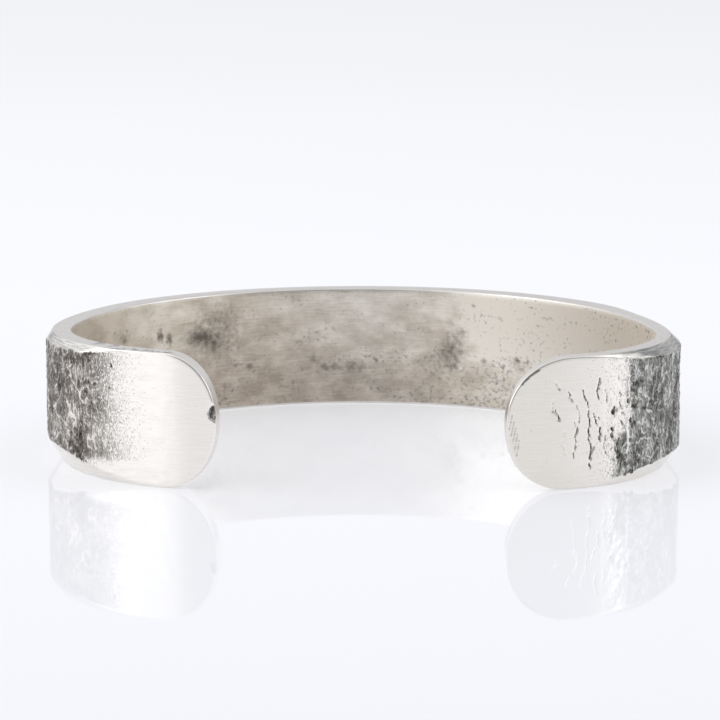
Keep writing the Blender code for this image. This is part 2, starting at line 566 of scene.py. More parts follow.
    def surface(self, from_tip: float, across: float) -> tuple[float, Looks]:
        """The relief's height and the looks at a place on the outside.

        Args:
            from_tip: Distance from the tip.
            across: Height above the middle of the band.

        Returns:
            The height above the wall, and the looks.
        """
        bark = self.bark
        skin = bark.skin(self.side.value * (self.length - from_tip), across)
        skin -= sum(patch.depth * patch.reach(from_tip, across) for patch in self.patches)
        level = self.grinding(self.moved(from_tip, across))
        cut = self.cut(from_tip, across)
        ground = min(lower_of(skin - level, 0.0, bark.rounding) - cut, bark.highest)
        scuff = self.haze * smooth_step(*self.haze_ends, from_tip)
        for scratch in self.scratches:
            scuff = max(scuff, scratch.depth * scratch.reach(from_tip, across))
        black = self.blackness(from_tip, across, ground, cut)
        looks = Looks(black, self.blackening.tone(skin, cut), scuff)
        raised = bark.raised * smooth_step(self.bare[1], self.bare[3], from_tip)
        height = bark.height * (bark.shown * max(ground, bark.lowest) + raised)
        return height + self.dents(from_tip, across), looks


@dataclass
class Row:
    """One point of a section: its place, where it lies along, across and out of the band, and its looks."""

    place: Vector
    spot: Vector
    looks: Looks = field(default_factory=Looks)


@dataclass
class CuffBand:
    """The whole band, one piece of cast silver."""

    left: Half
    right: Half
    stains: tuple[Hollow, ...]
    inner_edge: float = 0.2 * MM
    far_spacing: float = 0.42 * MM
    face_rows: int = 84
    edge_rows: int = 6
    corner_rows: int = 3
    inside_rows: int = 28
    rim_support: float = 0.06 * MM
    merge_distance: float = 0.0004 * MM
    # The meeting of the bark and the filed strip: its rounding, and how bare the strip is
    meeting: float = 0.03 * MM
    bare_black: float = -0.3
    dull_length: float = 5 * MM
    filed_ends: Place = (-3 * MM, 8 * MM)

    def columns(self, half: Half) -> list[Place]:
        """The columns of one half, from the tip to the middle of the back.

        Args:
            half: The half that gets the columns.

        Returns:
            Each column's share of the rounded corner and its share of the straight edge.
        """
        reach = max(half.lower.reach, half.upper.reach)
        found = [(number / half.tip_columns, 0.0) for number in range(half.tip_columns)]
        start = reach
        for end, spacing in half.spacings + ((half.length, self.far_spacing),):
            count = max(round((end - start) / spacing), 1)
            for number in range(count):
                place = blend(start, end, number / count)
                found.append((1.0, (place - reach) / (half.length - reach)))
            start = end
        return found + [(1.0, 1.0)]

    def edge_side(self, half: Half, edge: Edge, column: Place) -> tuple[list[Row], Place]:
        """The inner corner, the rim and the filed strip of one edge.

        Args:
            half: The half that the edge belongs to.
            edge: The edge.
            column: The column's shares of the rounded corner and of the straight edge.

        Returns:
            The rows from the inside to the face, and the place where the face starts.
        """
        share, along = column
        place, across, run, rise = edge.outline(share, blend(edge.reach, half.length, along))
        depth, height, _ = edge.filing(place)
        inner, wall = self.inner_edge, half.wall(place)
        rows = []
        for number in range(self.corner_rows):
            angle = number / self.corner_rows * math.pi / 2
            into, out = inner * (1 - math.sin(angle)), inner * (1 - math.cos(angle))
            rows.append(self.row(half, place + run * into, across + rise * into, out))
        outer = wall - depth
        mark = sum(mark.depth * mark.reach(place, across) for mark in half.rim_marks)
        for out in (inner, inner + self.rim_support, outer - self.rim_support, outer):
            rows.append(self.row(half, place, across, out))
            inward = (outer - out) / (outer - inner)
            if mark > 0:
                rows[-1].looks.black = mark * inward
            elif out < outer:
                rows[-1].looks.black = mark * (inward - 1)
        for number in range(1, self.edge_rows):
            into = height * (1 - math.cos(number / self.edge_rows * math.pi / 2))
            rows.append(self.outside(half, (place + run * into, across + rise * into), edge, into))
        return rows, (place + run * height, across + rise * height)

    def row(self, half: Half, from_tip: float, across: float, out: float) -> Row:
        """A bare point of the band at a distance out from its inner face."""
        spot = Vector((half.side.value * (half.length - from_tip), across, out))
        return Row(half.bend(from_tip, across, out), spot,
                   Looks(scuff=half.filed * smooth_step(*self.filed_ends, from_tip)))

    def outside(self, half: Half, place: Place, edge: Edge, into: float) -> Row:
        """A point of the outside, where the bark meets the filed strip.

        Args:
            half: The half that the point is on.
            place: Distance from the tip and height above the middle.
            edge: The nearest edge.
            into: Distance into the face from that edge.

        Returns:
            The point with its looks.
        """
        relief, looks = half.surface(*place)
        filed = edge.fall(into, place[0])
        height = lower_of(relief, filed, self.meeting)
        skinned = smooth_step(-self.meeting, self.meeting, filed - relief)
        looks.black = blend(self.bare_black, looks.black, skinned)
        dull = edge.dull * smooth_step(edge.dull_start, edge.dull_start + self.dull_length, place[0])
        looks.scuff = max(looks.scuff, dull * (1 - skinned))
        found = self.row(half, *place, half.wall(place[0]) + height)
        found.looks = looks
        return found

    def section(self, half: Half, column: Place) -> list[Row]:
        """The ring of points round one column, from the lower inner corner all the way round."""
        low, low_face = self.edge_side(half, half.lower, column)
        high, high_face = self.edge_side(half, half.upper, column)
        face = []
        for number in range(self.face_rows + 1):
            share = number / self.face_rows
            place = (blend(low_face[0], high_face[0], share), blend(low_face[1], high_face[1], share))
            edge, start = (half.lower, low_face) if share < 0.5 else (half.upper, high_face)
            into = edge.filing(place[0])[1] + abs(place[1] - start[1])
            face.append(self.outside(half, place, edge, into))
        return low + face + high[::-1] + self.inside(high[0], low[0])

    def inside(self, top: Row, bottom: Row) -> list[Row]:
        """The points of the inner face between its two corners, from the top down."""
        found = []
        for number in range(1, self.inside_rows + 1):
            share = number / (self.inside_rows + 1)
            spot = top.spot.lerp(bottom.spot, share)
            stain = sum(stain.depth * stain.reach(spot.x, spot.y + HALF_BAND) for stain in self.stains)
            found.append(Row(top.place.lerp(bottom.place, share), spot, Looks(black=stain)))
        return found

    def face_of(self, row: float) -> Face:
        """The kind of surface between two rows of a section, by the number of their middle."""
        strip = self.corner_rows + 3
        outside_end = strip + 2 * (self.edge_rows - 1) + self.face_rows + 2
        total = 2 * (self.corner_rows + 4 + self.edge_rows - 1) + self.face_rows + 1
        if row < strip or outside_end < row < total - 1:
            return Face.RIM
        return Face.BARK if row < outside_end else Face.INSIDE

    def build(self) -> bpy.types.Object:
        """Wraps a flat grid round the sections of both halves and closes it.

        Returns:
            The band, standing on z = 0 with its box in the middle of the frame's.
        """
        sections = [self.section(self.left, column) for column in self.columns(self.left)]
        back = [self.section(self.right, column) for column in self.columns(self.right)]
        sections += back[-2::-1]
        columns, rows = len(sections) - 1, len(sections[0])
        mesh = bmesh.new()
        bmesh.ops.create_grid(mesh, x_segments=columns, y_segments=rows, size=1.0)
        spot = mesh.verts.layers.float_vector.new("spot")
        read = {name: mesh.verts.layers.float.new(name) for name in ("black", "tone", "scuff")}
        for quad in mesh.faces:
            height = sum(vert.co.y for vert in quad.verts) / len(quad.verts)
            quad.material_index = self.face_of((height + 1) / 2 * rows).value
            quad.smooth = True
        for vert in mesh.verts:
            column = round((vert.co.x + 1) / 2 * columns)
            row = sections[column][round((vert.co.y + 1) / 2 * rows) % rows]
            vert.co = row.place
            vert[spot] = row.spot
            for name, layer in read.items():
                vert[layer] = getattr(row.looks, name)
        bmesh.ops.remove_doubles(mesh, verts=mesh.verts, dist=self.merge_distance)
        bmesh.ops.recalc_face_normals(mesh, faces=mesh.faces)
        self.set_down(mesh)
        data = bpy.data.meshes.new("silver_cuff")
        mesh.to_mesh(data)
        mesh.free()
        return self.finish(data)

    def set_down(self, mesh: bmesh.types.BMesh) -> None:
        """Moves the band to the middle of the frame's box, on its floor."""
        low = [min(vert.co[axis] for vert in mesh.verts) for axis in range(3)]
        high = [max(vert.co[axis] for vert in mesh.verts) for axis in range(3)]
        frame_low, frame_high = CAD_BOX
        shift = Vector(((frame_low.x + frame_high.x - low[0] - high[0]) / 2,
                        (frame_low.y + frame_high.y - low[1] - high[1]) / 2,
                        frame_low.z - low[2]))
        bmesh.ops.translate(mesh, vec=shift, verts=mesh.verts)

    def finish(self, data: bpy.types.Mesh) -> bpy.types.Object:
        """Gives the band its finishes and ties it to the frame."""
        for finish in (BarkSilver(), FiledSilver(), SatinSilver()):
            data.materials.append(finish.material())
        band = bpy.data.objects.new("silver_cuff", data)
        bpy.context.scene.collection.objects.link(band)
        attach(band, "root")
        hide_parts("cuff_band")
        return band


@dataclass(frozen=True)
class BandNodes:
    """A finish's node tree, with the sockets through which it reads the band's attributes."""

    tree: bpy.types.NodeTree
    spot: bpy.types.NodeSocket
    along: bpy.types.NodeSocket
    across: bpy.types.NodeSocket
    black: bpy.types.NodeSocket
    tone: bpy.types.NodeSocket
    scuff: bpy.types.NodeSocket

    @classmethod
    def read(cls, tree: bpy.types.NodeTree) -> "BandNodes":
        """Adds the nodes that read where a point lies on the band, and its looks."""
        spot = add_node(tree, "ShaderNodeAttribute", {"attribute_name": "spot"}).outputs["Vector"]
        along, across, _ = add_node(tree, "ShaderNodeSeparateXYZ", links={0: spot}).outputs
        looks = [add_node(tree, "ShaderNodeAttribute", {"attribute_name": name}).outputs["Fac"]
                 for name in ("black", "tone", "scuff")]
        return cls(tree, spot, along, across, *looks)


def band_metal(name: str) -> tuple[bpy.types.Material, bpy.types.Node, BandNodes]:
    """A new metal, with its surface node and what it reads from the band."""
    made = bpy.data.materials.new(name)
    made.use_nodes = True
    surface = made.node_tree.nodes["Principled BSDF"]
    surface.inputs["Metallic"].default_value = 1.0
    return made, surface, BandNodes.read(made.node_tree)


def pattern(band: BandNodes, kind: str, size: Place, settings: dict[str, Any] | None = None,
            values: dict[Any, Any] | None = None, out: str = "Fac",
            push: bpy.types.NodeSocket | None = None) -> bpy.types.NodeSocket:
    """A pattern that lies along the band.

    Args:
        band: The finish's nodes.
        kind: Blender's name for the kind of texture.
        size: The size of its parts along and across the band.
        settings: Properties of the node, by name.
        values: Values of input sockets, by name.
        out: The name of the output.
        push: A vector, in parts, that bends the pattern.

    Returns:
        The pattern's output.
    """
    scale = (1 / size[0], 1 / size[1], 1 / size[0])
    scaled = add_node(band.tree, "ShaderNodeMapping", values={"Scale": scale},
                      links={"Vector": band.spot}).outputs["Vector"]
    if push:
        scaled = add_node(band.tree, "ShaderNodeVectorMath", {"operation": "ADD"},
                          links={0: scaled, 1: push}).outputs["Vector"]
    chosen = {"Scale": 1.0, **(values or {})}
    return add_node(band.tree, kind, settings, chosen, {"Vector": scaled}).outputs[out]


def add_up(tree: bpy.types.NodeTree, first: bpy.types.NodeSocket, share: float,
           second: bpy.types.NodeSocket, offset: float = 0.0) -> bpy.types.NodeSocket:
    """The second value plus a share of the first, less an offset in the first."""
    made = add_node(tree, "ShaderNodeMath", {"operation": "SUBTRACT"}, {1: offset}, {0: first}).outputs[0]
    return add_node(tree, "ShaderNodeMath", {"operation": "MULTIPLY_ADD"}, {1: share},
                    {0: made, 2: second}).outputs[0]


def stained(band: BandNodes, base: bpy.types.NodeSocket, size: Place, raggedness: float,
            code: str) -> bpy.types.NodeSocket:
    """Lays ragged stains over a colour, as strong as the band's "black" attribute says.

    Args:
        band: The finish's nodes.
        base: The colour below.
        size: The size of the grain that breaks the stains' edges.
        raggedness: How much that grain counts.
        code: The stain's colour.

    Returns:
        The colour with its stains.
    """
    fine = pattern(band, "ShaderNodeTexNoise", size, values={"Detail": 4.0})
    ragged = add_up(band.tree, fine, raggedness, band.black, 0.5)
    held = add_node(band.tree, "ShaderNodeMath", HELD_TIMES, {1: 3.0}, {0: band.black}).outputs[0]
    share = add_node(band.tree, "ShaderNodeMath", HELD_TIMES, links={0: ragged, 1: held}).outputs[0]
    return add_node(band.tree, "ShaderNodeMix", COLOUR_MIX, {7: linear_colour(code)},
                    {0: share, 6: base}).outputs[2]


@dataclass(frozen=True)
class BarkSilver:
    """Cast silver, blackened with sulphide and rubbed back, and polished on the ends.

    The eye sees near-white metal on the ends and the veins, and soft grey to black in the hollows.
    """

    polished: str = "#FBF7F0"
    hazed: str = "#F6F2EC"
    vein: str = "#EAE5DE"
    rubbed: str = "#AEA8A2"
    blackened: str = "#78736D"
    black: str = "#383430"
    scuffed: str = "#8F8F8F"
    # Tints of the right half's skin and of its worn tip, each with the places between which it sets in
    cool: str = "#F5FCFF"
    cool_ends: Place = (-5 * MM, 5 * MM)
    worn_tip: str = "#F6F6F3"
    worn_ends: Place = (62 * MM, 67.5 * MM)
    grain_size: Place = (0.10 * MM, 0.24 * MM)
    grain_share: float = 1.25
    streak_size: Place = (0.36 * MM, 1.2 * MM)
    streak_share: float = 0.95
    cloud_size: Place = (1.2 * MM, 1.5 * MM)
    cloud_share: float = 0.8
    vein_size: Place = (1.3 * MM, 3.2 * MM)
    vein_bend: Place = (0.8 * MM, 1.5 * MM)
    vein_gaps: Place = (1.9 * MM, 2.6 * MM)
    vein_share: float = -0.36
    flow_size: Place = (1.5 * MM, 3.6 * MM)
    flow_lines: float = 8.0
    # Lines of the polishing and of the file, really finer, as coarse as they need to show
    polish_lines: Place = (2.2 * MM, 0.09 * MM)
    file_lines: Place = (1.6 * MM, 0.16 * MM)
    rough: Place = (0.17, 0.46)
    bump: float = 0.05 * MM

    def vein_lines(self, band: BandNodes) -> list[bpy.types.NodeSocket]:
        """The long veins, 1 on their lines and 0 beside them, and the flow lines, from -1 to 1."""
        tree = band.tree
        bent = pattern(band, "ShaderNodeTexNoise", self.vein_bend, values={"Detail": 3.0}, out="Color")
        edge = pattern(band, "ShaderNodeTexVoronoi", self.vein_size, {"feature": "DISTANCE_TO_EDGE"},
                       out="Distance", push=bent)
        line = add_node(tree, "ShaderNodeMapRange", SMOOTH, {1: 0.01, 2: 0.04, 3: 1.0, 4: 0.0},
                        {0: edge}).outputs[0]
        gaps = pattern(band, "ShaderNodeTexNoise", self.vein_gaps)
        shown = add_node(tree, "ShaderNodeMapRange", SMOOTH, {1: 0.45, 2: 0.62}, {0: gaps}).outputs[0]
        vein = add_node(tree, "ShaderNodeMath", TIMES, links={0: line, 1: shown}).outputs[0]
        hills = pattern(band, "ShaderNodeTexNoise", self.flow_size,
                        values={"Detail": 3.0, "Roughness": 0.45})
        turned = add_node(tree, "ShaderNodeMath", TIMES, {1: self.flow_lines * math.tau},
                          {0: hills}).outputs[0]
        return [vein, add_node(tree, "ShaderNodeMath", {"operation": "SINE"}, links={0: turned}).outputs[0]]

    def skin_colour(self, band: BandNodes, grain: bpy.types.NodeSocket,
                    lines: list[bpy.types.NodeSocket]) -> bpy.types.NodeSocket:
        """The colour of the blackened skin: streaks and grain under thin bright veins, cooler at the right.

        Args:
            band: The finish's nodes.
            grain: The fine grain.
            lines: The long veins and the flow lines.

        Returns:
            The colour.
        """
        tree = band.tree
        tone = add_up(tree, grain, self.grain_share, band.tone, 0.5)
        streaks = pattern(band, "ShaderNodeTexNoise", self.streak_size, values={"Detail": 4.0})
        tone = add_up(tree, streaks, self.streak_share, tone, 0.5)
        clouds = pattern(band, "ShaderNodeTexNoise", self.cloud_size, values={"Detail": 3.0})
        tone = add_up(tree, clouds, self.cloud_share, tone, 0.5)
        tone = add_up(tree, lines[0], self.vein_share, tone)
        sharp = add_node(tree, "ShaderNodeMapRange", SMOOTH, {1: 0.40, 2: 1.0, 3: 0.08, 4: -0.27},
                         {0: lines[1]}).outputs[0]
        tone = add_node(tree, "ShaderNodeMath", {"operation": "ADD"}, links={0: tone, 1: sharp}).outputs[0]
        stops = ((0.0, self.vein), (1.0, self.black), (0.3, self.rubbed), (0.62, self.blackened))
        colour = add_node(tree, "ShaderNodeValToRGB", links={"Fac": tone}, stops=stops).outputs["Color"]
        right = add_node(tree, "ShaderNodeMapRange", values={1: self.cool_ends[0], 2: self.cool_ends[1]},
                         links={0: band.along}).outputs[0]
        return add_node(tree, "ShaderNodeMix", TINT, {7: linear_colour(self.cool)},
                        {0: right, 6: colour}).outputs[2]

    def bare_colour(self, band: BandNodes) -> bpy.types.NodeSocket:
        """The colour of the bare metal: faint lines from the polishing, and dull where it was filed."""
        tree = band.tree
        lines = pattern(band, "ShaderNodeTexNoise", self.polish_lines, values={"Detail": 2.0})
        bright = add_node(tree, "ShaderNodeValToRGB", links={"Fac": lines},
                          stops=((0.35, self.hazed), (0.62, self.polished))).outputs["Color"]
        filed = pattern(band, "ShaderNodeTexNoise", self.file_lines, values={"Detail": 3.0})
        dull = add_up(tree, filed, 1.6, band.scuff, 0.5)
        marked = add_node(tree, "ShaderNodeMath", HELD_TIMES, {1: 4.0}, {0: band.scuff}).outputs[0]
        share = add_node(tree, "ShaderNodeMath", HELD_TIMES, links={0: dull, 1: marked}).outputs[0]
        mixed = add_node(tree, "ShaderNodeMix", COLOUR_MIX, {7: linear_colour(self.scuffed)},
                         {0: share, 6: bright}).outputs[2]
        tip = add_node(tree, "ShaderNodeMapRange", SMOOTH, {1: self.worn_ends[0], 2: self.worn_ends[1]},
                       {0: band.along}).outputs[0]
        return add_node(tree, "ShaderNodeMix", TINT, {7: linear_colour(self.worn_tip)},
                        {0: tip, 6: mixed}).outputs[2]

    def material(self) -> bpy.types.Material:
        """Builds the material.

        Returns:
            The material for the outside.
        """
        made, surface, band = band_metal("oxidised_cast_silver")
        tree = band.tree
        grain = pattern(band, "ShaderNodeTexNoise", self.grain_size, values={"Detail": 2.0})
        lines = self.vein_lines(band)
        left = add_up(tree, grain, 2.0, band.black, 0.5)
        specks = add_node(tree, "ShaderNodeMapRange", SMOOTH, {1: 0.34, 2: 0.68}, {0: left}).outputs[0]
        strong = add_node(tree, "ShaderNodeMapRange", SMOOTH, {1: 0.3, 2: 1.0, 3: 0.44, 4: 1.0},
                          {0: band.black}).outputs[0]
        share = add_node(tree, "ShaderNodeMath", TIMES, links={0: specks, 1: strong}).outputs[0]
        mixed = add_node(tree, "ShaderNodeMix", COLOUR_MIX,
                         links={0: share, 6: self.bare_colour(band),
                                7: self.skin_colour(band, grain, lines)})
        tree.links.new(mixed.outputs[2], surface.inputs["Base Color"])
        rough = add_node(tree, "ShaderNodeMapRange", values={3: self.rough[0], 4: self.rough[1]},
                         links={0: share})
        tree.links.new(rough.outputs[0], surface.inputs["Roughness"])
        high = add_up(tree, lines[0], 0.8, add_up(tree, lines[1], 0.3, grain))
        raised = add_node(tree, "ShaderNodeMath", TIMES, links={0: high, 1: share})
        bump = add_node(tree, "ShaderNodeBump", values={"Strength": 0.8, "Distance": self.bump},
                        links={"Height": raised.outputs[0]})
        tree.links.new(bump.outputs["Normal"], surface.inputs["Normal"])
        return made


@dataclass(frozen=True)
class FiledSilver:
    """Cast silver, filed flat and rubbed with fine paper, as on the rims.

    The eye sees light grey metal with short darker lines along the rim.
    """

    colour: str = "#DAD6D2"
    scratched: str = "#AEAAA7"
    tip: str = "#F0ECE7"
    mark: str = "#3C3835"
    mark_size: Place = (0.45 * MM, 0.2 * MM)
    raggedness: float = 3.5
    # Lines of the file, really finer, as coarse as they need to show
    line_size: Place = (1.8 * MM, 0.22 * MM)
    rough: float = 0.3

    def material(self) -> bpy.types.Material:
        """Builds the material.

        Returns:
            The material for the rims.
        """
        made, surface, band = band_metal("filed_silver")
        tree = band.tree
        scale = (1 / self.line_size[0], 1 / self.line_size[1], 1 / self.line_size[1])
        scaled = add_node(tree, "ShaderNodeMapping", values={"Scale": scale}, links={"Vector": band.spot})
        lines = add_node(tree, "ShaderNodeTexNoise", values={"Scale": 1.0, "Detail": 4.0},
                         links={"Vector": scaled.outputs["Vector"]}).outputs["Fac"]
        colour = add_node(tree, "ShaderNodeValToRGB", links={"Fac": lines},
                          stops=((0.34, self.scratched), (0.56, self.colour))).outputs["Color"]
        mixed = add_node(tree, "ShaderNodeMix", COLOUR_MIX, {6: linear_colour(self.tip)},
                         {0: band.scuff, 7: colour})
        marked = stained(band, mixed.outputs[2], self.mark_size, self.raggedness, self.mark)
        tree.links.new(marked, surface.inputs["Base Color"])
        surface.inputs["Roughness"].default_value = self.rough
        return made


@dataclass(frozen=True)
class SatinSilver:
    """Cast silver with a satin inside, dulled by wear and stained in soft clouds and specks.

    The eye sees warm light grey with blue-grey specks and brown-grey smudges; its brightening towards the
    right and the top is painted light, and its slow darkenings are painted shade.
    """

    clean: str = "#FFFAF1"
    dulled: str = "#D9D0C3"
    stained: str = "#AFA497"
    smudge: str = "#757069"
    speck: str = "#7E7F85"
    cloud_size: Place = (3.9 * MM, 2.6 * MM)
    cloud_share: float = 0.66
    brush_size: Place = (2.6 * MM, 0.2 * MM)
    brush_share: float = 0.25
    smudge_size: Place = (0.55 * MM, 0.55 * MM)
    raggedness: float = 1.5
    speck_size: Place = (0.45 * MM, 0.45 * MM)
    crowd_size: Place = (6.0 * MM, 2.2 * MM)
    rough: float = 0.38
    # Painted light and shade, in slow changes along the band: where each starts and ends, and how light it
    # is before and after
    painted_slopes: tuple[tuple[float, float, float, float], ...] = (
        (24 * MM, 38 * MM, 0.0, -0.2), (-24 * MM, -18 * MM, 0.1, 0.0), (-12 * MM, 0.0, -0.055, 0.0))
    right_ends: Place = (7 * MM, 18 * MM)

    def painted_light_and_shade(self, band: BandNodes, right: bpy.types.NodeSocket) -> bpy.types.NodeSocket:
        """The painted light and shade at a place: how much brighter, or darker where it is negative, the
        metal is painted.

        Args:
            band: The finish's nodes.
            right: The share of the right side, from 0 to 1.

        Returns:
            The sum of the painted slow changes along and across the band.
        """
        tree = band.tree
        # Painted light and shade: brighter higher up the inner face, darker lower down
        total = add_node(tree, "ShaderNodeMapRange", values={1: -3.5 * MM, 2: 5 * MM, 3: -0.08, 4: 0.11},
                         links={0: band.across}).outputs[0]
        for start, end, before, after in self.painted_slopes:
            slope = add_node(tree, "ShaderNodeMapRange", SMOOTH, {1: start, 2: end, 3: before, 4: after},
                             {0: band.along}).outputs[0]
            total = add_up(tree, slope, 1.0, total)
        # Painted light: the right side brightened, more so higher up
        painted_light_rise = add_node(tree, "ShaderNodeMapRange", values={1: -3.5 * MM, 2: 4.5 * MM, 3: 0.15, 4: 0.38},
                          links={0: band.across}).outputs[0]
        painted_light_right = add_node(tree, "ShaderNodeMath", TIMES, links={0: right, 1: painted_light_rise}).outputs[0]
        return add_up(tree, painted_light_right, 1.0, total)

    def specks(self, band: BandNodes, right: bpy.types.NodeSocket) -> bpy.types.NodeSocket:
        """The share of the soft specks, which crowd in places, lower down and to the right."""
        tree = band.tree
        specks = pattern(band, "ShaderNodeTexNoise", self.speck_size, values={"Detail": 2.0})
        crowd = pattern(band, "ShaderNodeTexNoise", self.crowd_size, values={"Detail": 2.0})
        low = add_node(tree, "ShaderNodeMapRange", SMOOTH, {1: -2.5 * MM, 2: 1 * MM, 3: 0.04, 4: -0.03},
                       {0: band.across}).outputs[0]
        specks = add_up(tree, low, 1.0, add_up(tree, crowd, 0.5, specks, 0.5))
        specks = add_up(tree, right, 0.035, specks)
        return add_node(tree, "ShaderNodeMapRange", SMOOTH, {1: 0.57, 2: 0.86, 3: 0.0, 4: 0.75},
                        {0: specks}).outputs[0]

    def material(self) -> bpy.types.Material:
        """Builds the material.

        Returns:
            The material for the inner face.
        """
        made, surface, band = band_metal("satin_silver")
        tree = band.tree
        right = add_node(tree, "ShaderNodeMapRange", SMOOTH, {1: self.right_ends[0], 2: self.right_ends[1]},
                         {0: band.along}).outputs[0]
        cloud = pattern(band, "ShaderNodeTexNoise", self.cloud_size,
                        values={"Detail": 7.0, "Roughness": 0.66})
        brushed = pattern(band, "ShaderNodeTexNoise", self.brush_size, values={"Detail": 3.0})
        cloud = add_up(tree, brushed, self.brush_share, cloud, 0.5)
        # Clouds of real dulling, plus the painted light and shade
        shade = add_up(tree, cloud, self.cloud_share, self.painted_light_and_shade(band, right), -0.265)
        stops = ((0.32, self.stained), (0.70, self.clean), (0.50, self.dulled))
        base = add_node(tree, "ShaderNodeValToRGB", links={"Fac": shade}, stops=stops).outputs["Color"]
        dirty = stained(band, base, self.smudge_size, self.raggedness, self.smudge)
        speckled = add_node(tree, "ShaderNodeMix", COLOUR_MIX, {7: linear_colour(self.speck)},
                            {0: self.specks(band, right), 6: dirty}).outputs[2]
        tree.links.new(speckled, surface.inputs["Base Color"])
        surface.inputs["Roughness"].default_value = self.rough
        return made


@dataclass(frozen=True)
class Studio:
    """The floor, the light and the camera."""

    floor_size: float = 6.0
    floor_colour: str = "#BEBEC2"
    floor_glow: float = 0.459
    # Low and smooth, so that the mirror image in the floor is sharp and faint
    floor_ior: float = 1.15
    floor_rough: float = 0.02
    back: str = "#FAFBFE"
    front_turn: float = 0.2
    front: float = 0.4
    left_side: float = 1.36
    right_side: float = 1.09
    behind: float = 0.69
    low: float = 0.49
    top: float = 0.76
    backdrop: float = 1.0
    # Where the front, the sides, the back, the low part and the ceiling of the world change
    front_ends: Place = (-0.70, -0.52)
    side_ends: Place = (-0.7, 0.7)
    back_ends: Place = (0.1, 0.8)
    low_end: float = 0.2
    top_ends: Place = (0.25, 0.8)
    left_place: tuple[float, float, float] = (-0.50, -0.06, 0.26)
    left_size: Place = (0.45, 0.30)
    left_power: float = 0.3
    right_place: tuple[float, float, float] = (0.50, -0.02, 0.26)
    right_size: Place = (0.40, 0.25)
    right_power: float = 0.2
    pitch: float = math.radians(9.124)
    camera_place: tuple[float, float, float] = (-0.243 * MM, -259.045 * MM, 50.0 * MM)
    lens: float = 129.87
    sensor: float = 36.0

    def floor(self) -> None:
        """Lays the floor: white acrylic sheet, which shows a faint mirror image of the band."""
        mesh = bmesh.new()
        bmesh.ops.create_grid(mesh, x_segments=1, y_segments=1, size=self.floor_size / 2)
        data = bpy.data.meshes.new("floor")
        mesh.to_mesh(data)
        mesh.free()
        made = bpy.data.materials.new("white_acrylic")
        made.use_nodes = True
        surface = made.node_tree.nodes["Principled BSDF"]
        surface.inputs["Base Color"].default_value = linear_colour(self.floor_colour)
        surface.inputs["Roughness"].default_value = self.floor_rough
        surface.inputs["IOR"].default_value = self.floor_ior
        surface.inputs["Emission Color"].default_value = linear_colour(self.back)
        surface.inputs["Emission Strength"].default_value = self.floor_glow
        data.materials.append(made)
        floor = bpy.data.objects.new("floor", data)
        bpy.context.scene.collection.objects.link(floor)

    def softbox(self, name: str, place: Vector, size: Place, power: float) -> None:
        """Hangs one soft light that points at the band.

        Args:
            name: The light's name.
            place: Where it hangs.
            size: Its width and height.
            power: Its power in watts.
        """
        data = bpy.data.lights.new(name, "AREA")
        data.shape = "RECTANGLE"
        data.size, data.size_y = size
        data.energy = power
        lamp = bpy.data.objects.new(name, data)
        lamp.location = place
        lamp.rotation_euler = (-place).to_track_quat("-Z", "Y").to_euler()
        bpy.context.scene.collection.objects.link(lamp)

    def light(self) -> None:
        """Sets a bright backdrop with a dimmer front, and a soft light on each side."""
        world = bpy.data.worlds.new("studio")
        world.use_nodes = True
        tree = world.node_tree
        tree.nodes.clear()
        way = add_node(tree, "ShaderNodeTexCoord").outputs["Generated"]
        x, y, z = add_node(tree, "ShaderNodeSeparateXYZ", links={0: way}).outputs
        turned = add_node(tree, "ShaderNodeMath", {"operation": "MULTIPLY_ADD"}, {1: -self.front_turn},
                          {0: x, 2: y}).outputs[0]
        sides = add_node(tree, "ShaderNodeMapRange",
                         values={1: self.side_ends[0], 2: self.side_ends[1], 3: self.left_side,
                                 4: self.right_side}, links={0: x}).outputs[0]
        back = add_node(tree, "ShaderNodeMapRange",
                        values={1: self.back_ends[0], 2: self.back_ends[1], 3: 1.0, 4: self.behind},
                        links={0: y}).outputs[0]
        wide = add_node(tree, "ShaderNodeMath", TIMES, links={0: sides, 1: back}).outputs[0]
        depth = add_node(tree, "ShaderNodeMapRange", SMOOTH,
                         {1: self.front_ends[0], 2: self.front_ends[1], 3: self.front},
                         {0: turned, 4: wide}).outputs[0]
        rise = add_node(tree, "ShaderNodeMapRange", values={1: 0.0, 2: self.low_end, 3: self.low},
                        links={0: z}).outputs[0]
        ceiling = add_node(tree, "ShaderNodeMapRange",
                           values={1: self.top_ends[0], 2: self.top_ends[1], 3: 1.0, 4: self.top},
                           links={0: z}).outputs[0]
        level = add_node(tree, "ShaderNodeMath", TIMES, links={0: rise, 1: ceiling}).outputs[0]
        both = add_node(tree, "ShaderNodeMath", TIMES, links={0: depth, 1: level}).outputs[0]
        seen = add_node(tree, "ShaderNodeLightPath").outputs["Is Camera Ray"]
        strength = add_node(tree, "ShaderNodeMix", values={3: self.backdrop}, links={0: seen, 2: both})
        shade = add_node(tree, "ShaderNodeBackground", values={"Color": linear_colour(self.back)},
                         links={"Strength": strength.outputs[0]})
        add_node(tree, "ShaderNodeOutputWorld", links={"Surface": shade.outputs[0]})
        bpy.context.scene.world = world
        self.softbox("left_softbox", Vector(self.left_place), self.left_size, self.left_power)
        self.softbox("right_softbox", Vector(self.right_place), self.right_size, self.right_power)

    def camera(self) -> None:
        """Puts up the camera, a little above the band and level across."""
        data = bpy.data.cameras.new("camera")
        data.lens = self.lens
        data.sensor_width = self.sensor
        data.clip_start = 0.01
        camera = bpy.data.objects.new("camera", data)
        camera.location = self.camera_place
        camera.rotation_euler = (math.pi / 2 - self.pitch, 0.0, 0.0)
        bpy.context.scene.collection.objects.link(camera)
        bpy.context.scene.camera = camera


def at(*places: Place) -> tuple[Place, ...]:
    """Points given in millimetres, from the tip and above the middle."""
    return tuple((from_tip * MM, across * MM) for from_tip, across in places)


def hollow(from_tip: float, across: float, half_length: float, half_height: float,
           depth: float, core: float = 0.0) -> Hollow:
    """A hollow with its place and size given in millimetres."""
    return Hollow(from_tip * MM, across * MM, half_length * MM, half_height * MM, depth, core)


